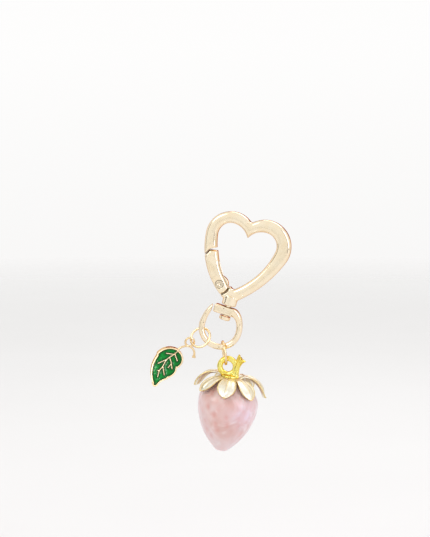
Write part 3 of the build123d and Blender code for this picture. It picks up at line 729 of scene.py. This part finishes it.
def hanger(material):
    """Loop, cut stem and their base: one soft casting with shallow flutes up the stem."""
    mesh = cast_copy("berry_hanger", HANGER_VOXEL, 6)
    matrix = berry_matrix()
    local = to_world(mesh_points(mesh), matrix.inverted())
    normals = mesh_normals(mesh) @ np.array(matrix.inverted())[:3, :3].T
    z = local[:, 2]
    axis_x = np.interp(z, STEM_HEIGHTS, STEM_AXIS)
    on_stem = smooth_step(local[:, 0] - axis_x, -2.2, -1.2) * smooth_step(z, 0.6, 1.6)
    turn = np.arctan2(local[:, 1], local[:, 0] - axis_x)
    flutes = FLUTE_DEEP * np.cos(FLUTES * turn) * on_stem
    lumps = LUMP_HIGH * np.sin(1.9 * local[:, 0] + 2.2 * z) * np.sin(2.6 * local[:, 1] - 1.3 * z)
    local += normals * ((flutes + lumps) * smooth_step(z, -0.6, 0.2))[:, None]
    set_points(mesh, to_world(local, matrix) * MM)
    mesh.name = "strawberry_hanger"
    return place("strawberry_hanger", mesh, material, "strawberry", "yellow_gold", "berry_hanger")


# ---- leaf ---------------------------------------------------------------------------------------
def leaf_metal(material):
    mesh = cast_copy("leaf_plate", LEAF_VOXEL, 4)
    set_points(mesh, mesh_points(mesh) * MM)
    return place("leaf_casting", mesh, material, "leaf_charm", "pale_gold", "leaf_plate")


def leaf_enamel(material):
    """The enamel's surface climbs a little where it meets the metal, and swells between."""
    mesh = cast_copy("leaf_enamel", LEAF_VOXEL, 2)
    points = mesh_points(mesh)
    normals = mesh_normals(mesh)
    yaw = Matrix.Rotation(math.radians(LEAF_YAW), 4, "Z")
    turn = yaw @ Matrix.Rotation(math.radians(LEAF_PITCH), 4, "X")
    front = np.array(turn)[:3, :3] @ np.array([0.0, -1.0, 0.0])
    facing = normals @ front
    walls = points[np.abs(facing) < 0.5]
    tree = kdtree.KDTree(len(walls))
    for i, p in enumerate(walls):
        tree.insert(p, i)
    tree.balance()
    inner = np.array([tree.find(p)[2] for p in points])
    climb = ENAMEL_CLIMB * np.exp(-inner / ENAMEL_CLIMB_WIDE)
    swell = ENAMEL_SWELL * (1 - np.exp(-inner / ENAMEL_SWELL_WIDE))
    points += front * ((climb + swell) * (facing > 0.3))[:, None]
    set_points(mesh, points * MM)
    # the distance to the walls also drives the enamel's painted edge shade
    set_attribute(mesh, "inner", inner)
    return place("leaf_enamel_fill", mesh, material, "leaf_charm", "green_enamel", "leaf_enamel")


# ---- wires ----------------------------------------------------------------------------------
def tube_faces(steps, sides):
    """Quads of a tube of rings of points, and a cap at each end."""
    faces = []
    for i in range(steps - 1):
        for j in range(sides):
            k = (j + 1) % sides
            ring, following = i * sides, (i + 1) * sides
            faces.append((ring + j, following + j, following + k, ring + k))
    faces.append(tuple(range(sides)))
    faces.append(tuple(range(steps * sides - 1, (steps - 1) * sides - 1, -1)))
    return faces


def jump_ring(name, node, split, material, body):
    """A ring of round wire closed by a butt joint, on the CAD ring's own circle."""
    points = cad_points(node)
    middle = points.mean(0)
    normal = np.linalg.svd(points - middle, full_matrices=False)[2][2]
    across = np.cross(normal, np.cross((1.0, 0.0, 0.0), normal))
    across /= np.linalg.norm(across)
    side = np.cross(normal, across)
    axes = np.stack([across, side, normal])
    flat = points @ axes.T
    centre = (flat.max(0) + flat.min(0)) / 2
    half = (flat.max(0) - flat.min(0)) / 2
    wire = half[2]
    radius = half[1] - wire
    gap = LINK_GAP / radius
    turns = np.linspace(gap / 2, 2 * math.pi - gap / 2, LINK_STEPS) + math.radians(split)
    verts = []
    for i, a in enumerate(turns):
        end = min(i, LINK_STEPS - 1 - i)
        tube = wire * (0.90 if end == 0 else 0.985 if end == 1 else 1.0)
        for b in np.linspace(0, 2 * math.pi, LINK_SIDES, endpoint=False):
            reach = radius + tube * math.cos(b)
            verts.append((reach * math.cos(a), reach * math.sin(a), tube * math.sin(b)))
    faces = tube_faces(LINK_STEPS, LINK_SIDES)
    world = (np.array(verts) + centre) @ axes
    return add_piece(name, world, faces, material, body, "pale_gold", node)


def coil_spring(material):
    """The gate's spring, from its foot on the frame's lug to its head at the gate; it rides on no
    body.

    It is clear of the gate when shut. At the open limit it still cuts the channel's wall.
    """
    foot, head = np.array(SPRING_FOOT), np.array(SPRING_HEAD)
    length = np.linalg.norm(head - foot)
    axis = (head - foot) / length
    side = np.array([0.0, 1.0, 0.0])
    across = np.cross(axis, side)
    verts = []
    for t in np.linspace(0.0, 1.0, SPRING_STEPS):
        turn = 2 * math.pi * SPRING_TURNS * t
        radial = math.cos(turn) * side + math.sin(turn) * across
        for b in np.linspace(0, 2 * math.pi, SPRING_SIDES, endpoint=False):
            reach = SPRING_R + SPRING_WIRE * math.cos(b)
            verts.append(foot + axis * (length * t + SPRING_WIRE * math.sin(b)) + radial * reach)
    faces = [face[::-1] for face in tube_faces(SPRING_STEPS, SPRING_SIDES)]
    matrix = clasp_matrix()
    mesh = bpy.data.meshes.new("gate_coil_spring")
    mesh.from_pydata((to_world(np.array(verts), matrix) * MM).tolist(), [], faces)
    mesh.update()
    mesh.shade_smooth()
    mesh.materials.append(material)
    piece = bpy.data.objects.new("gate_coil_spring", mesh)
    bpy.context.scene.collection.objects.link(piece)
    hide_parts("gate_spring")
    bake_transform(piece)


# ---- studio -----------------------------------------------------------------------------------------
def studio_floor():
    """A round pale floor that fades out at its rim."""
    verts = [(0.0, 0.0, FLOOR_Z)]
    faces = []
    angles = [2 * math.pi * k / FLOOR_STEPS for k in range(FLOOR_STEPS)]
    for r in FLOOR_RINGS[1:]:
        verts += [(r * math.cos(a), r * math.sin(a), FLOOR_Z) for a in angles]
    for k in range(FLOOR_STEPS):
        j = (k + 1) % FLOOR_STEPS
        faces.append((0, 1 + k, 1 + j))
        for i in range(len(FLOOR_RINGS) - 2):
            a, b = 1 + i * FLOOR_STEPS, 1 + (i + 1) * FLOOR_STEPS
            faces.append((a + k, b + k, b + j, a + j))
    mesh = bpy.data.meshes.new("floor")
    mesh.from_pydata(verts, [], faces)
    floor = bpy.data.objects.new("floor", mesh)
    bpy.context.scene.collection.objects.link(floor)
    material, tree, shader = new_material("pale_floor")
    coords = object_coords(tree)
    tone = mix(tree, noise(tree, coords, 6.0, 2.0), FLOOR, FLOOR_LIGHT)
    tree.links.new(tone, shader.inputs["Base Color"])
    shader.inputs["Roughness"].default_value = 0.8
    away = add(tree, "VectorMath", {0: coords}, operation="LENGTH").outputs["Value"]
    fade = remap(tree, away, 0.5, 2.6, 1.0, 0.0)
    tree.links.new(fade, shader.inputs["Alpha"])
    mesh.materials.append(material)


def world_light():
    world = bpy.data.worlds.new("studio")
    bpy.context.scene.world = world
    world.use_nodes = True
    tree = world.node_tree
    background = tree.nodes["Background"]
    coords = add(tree, "TexCoord").outputs["Generated"]
    up = add(tree, "SeparateXYZ", {0: coords}).outputs["Z"]
    ramp = add(tree, "ValToRGB", {0: remap(tree, up, -1.0, 1.0)})
    ramp.color_ramp.elements[0].position = 0.25
    ramp.color_ramp.elements[0].color = rgb(STUDIO_LOW)
    ramp.color_ramp.elements[1].position = 0.55
    ramp.color_ramp.elements[1].color = rgb(STUDIO)
    tree.links.new(ramp.outputs["Color"], background.inputs["Color"])
    background.inputs["Strength"].default_value = WORLD_STRENGTH


def area_light(name, place_at, aim, size, power, colour):
    data = bpy.data.lights.new(name, "AREA")
    data.shape = "RECTANGLE"
    data.size, data.size_y = size
    data.energy = power
    data.color = colour
    lamp = bpy.data.objects.new(name, data)
    bpy.context.scene.collection.objects.link(lamp)
    lamp.location = place_at
    lamp.rotation_mode = "QUATERNION"
    lamp.rotation_quaternion = (Vector(aim) - Vector(place_at)).to_track_quat("-Z", "Y")
    lamp.visible_camera = False


def studio_card(name, place_at, aim, size, colour, glow):
    """A card that shows only in reflections."""
    w, h = size[0] / 2, size[1] / 2
    mesh = bpy.data.meshes.new(name)
    mesh.from_pydata([(-w, -h, 0), (w, -h, 0), (w, h, 0), (-w, h, 0)], [], [(0, 1, 2, 3)])
    card = bpy.data.objects.new(name, mesh)
    bpy.context.scene.collection.objects.link(card)
    card.location = place_at
    card.rotation_mode = "QUATERNION"
    card.rotation_quaternion = (Vector(aim) - Vector(place_at)).to_track_quat("Z", "Y")
    material, _, shader = new_material(name)
    shader.inputs["Base Color"].default_value = rgb(colour)
    shader.inputs["Roughness"].default_value = 0.9
    shader.inputs["Emission Color"].default_value = rgb(colour)
    shader.inputs["Emission Strength"].default_value = glow
    mesh.materials.append(material)
    card.visible_camera = False
    card.visible_diffuse = False
    card.visible_shadow = False


def camera():
    """The eye is a little to the right of square on and a little up, with a long lens."""
    data = bpy.data.cameras.new("camera")
    data.lens = LENS
    data.sensor_width = SENSOR
    eye = bpy.data.objects.new("camera", data)
    bpy.context.scene.collection.objects.link(eye)
    azimuth, rise = math.radians(CAMERA_AZIMUTH), math.radians(CAMERA_RISE)
    level = math.cos(rise)
    back = Vector((math.sin(azimuth) * level, -math.cos(azimuth) * level, math.sin(rise)))
    eye.location = Vector(CAMERA_AIM) + back * CAMERA_REACH
    eye.rotation_mode = "QUATERNION"
    eye.rotation_quaternion = (-back).to_track_quat("-Z", "Y")
    data.clip_start, data.clip_end = 0.01, 20.0
    bpy.context.scene.camera = eye


def studio():
    world_light()
    studio_floor()
    for name, place_at, size, power, colour in LAMPS:
        area_light(name, place_at, STUDIO_CENTRE, size, power, colour)
    for card in CARDS:
        studio_card(*card)
    bpy.context.scene.view_settings.view_transform = "Standard"


def carried_over(node, material):
    """A CAD node whose shape is right keeps it and gets its real finish."""
    obj = frame["nodes"][node]
    for holder in obj.material_slots:
        holder.link = "OBJECT"
        holder.material = material


def build():
    clasp_gold = gold("pale_gold_plate", PALE_GOLD, PALE_GOLD_DEEP, GOLD_EDGE, 0.13)
    stem_gold = gold("yellow_gold_plate", YELLOW_GOLD, YELLOW_DEEP, YELLOW_EDGE, 0.16, 0.00003)
    swivel_gold = gold("swivel_gold_plate", PALE_GOLD, PALE_GOLD_DEEP, GOLD_EDGE, 0.13, pits=True)
    crowned_copy("heart_casting", "heart_frame", clasp_gold, "carabiner",
                 "gate", "gate_pivot_rivet", "swivel_ring")
    crowned_copy("gate_casting", "gate", clasp_gold, "gate", "heart_frame", "gate_pivot_rivet")
    pivot_rivet(clasp_gold)
    swivel_casting(swivel_gold)
    carried_over("swivel_rivet", swivel_gold)
    coil_spring(steel())
    carried_over("peg_adhesive", glue())
    wire_gold = gold("link_wire_plate", WIRE_GOLD, WIRE_DEEP, WIRE_EDGE, 0.15, 0.000002)
    jump_ring("leaf_link_ring", "leaf_jump_ring", LEAF_LINK_SPLIT, wire_gold, "leaf_link")
    jump_ring("berry_link_ring", "berry_jump_ring", BERRY_LINK_SPLIT, wire_gold, "berry_link")
    leaf_metal(wire_gold)
    leaf_enamel(enamel())
    hanger(stem_gold)
    calyx(calyx_metal())
    berry(resin())


camera()
studio()
build()
